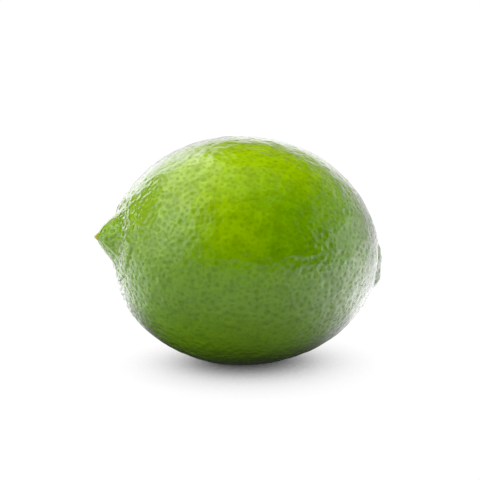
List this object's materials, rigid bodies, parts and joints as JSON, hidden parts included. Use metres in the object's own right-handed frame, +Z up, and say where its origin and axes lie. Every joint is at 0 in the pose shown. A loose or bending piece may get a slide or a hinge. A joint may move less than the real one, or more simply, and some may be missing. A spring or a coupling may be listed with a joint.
{
  "type": "lime",
  "caption": "Whole lime lying on its side: a short oval fruit with a pointed nipple at its blossom end and a low furrowed collar at its stem end.",
  "frame": {"origin": "on the surface that the lime lies on, under the middle of its bounding box", "axes": "+X from the nipple to the stem end, +Y across the fruit, +Z up"},
  "size_m": [0.066, 0.0524, 0.0513],
  "materials": {
    "peel": "waxy pitted green citrus peel"
  },
  "bodies": {
    "root": {"lime": "peel"}
  },
  "joints": []
}
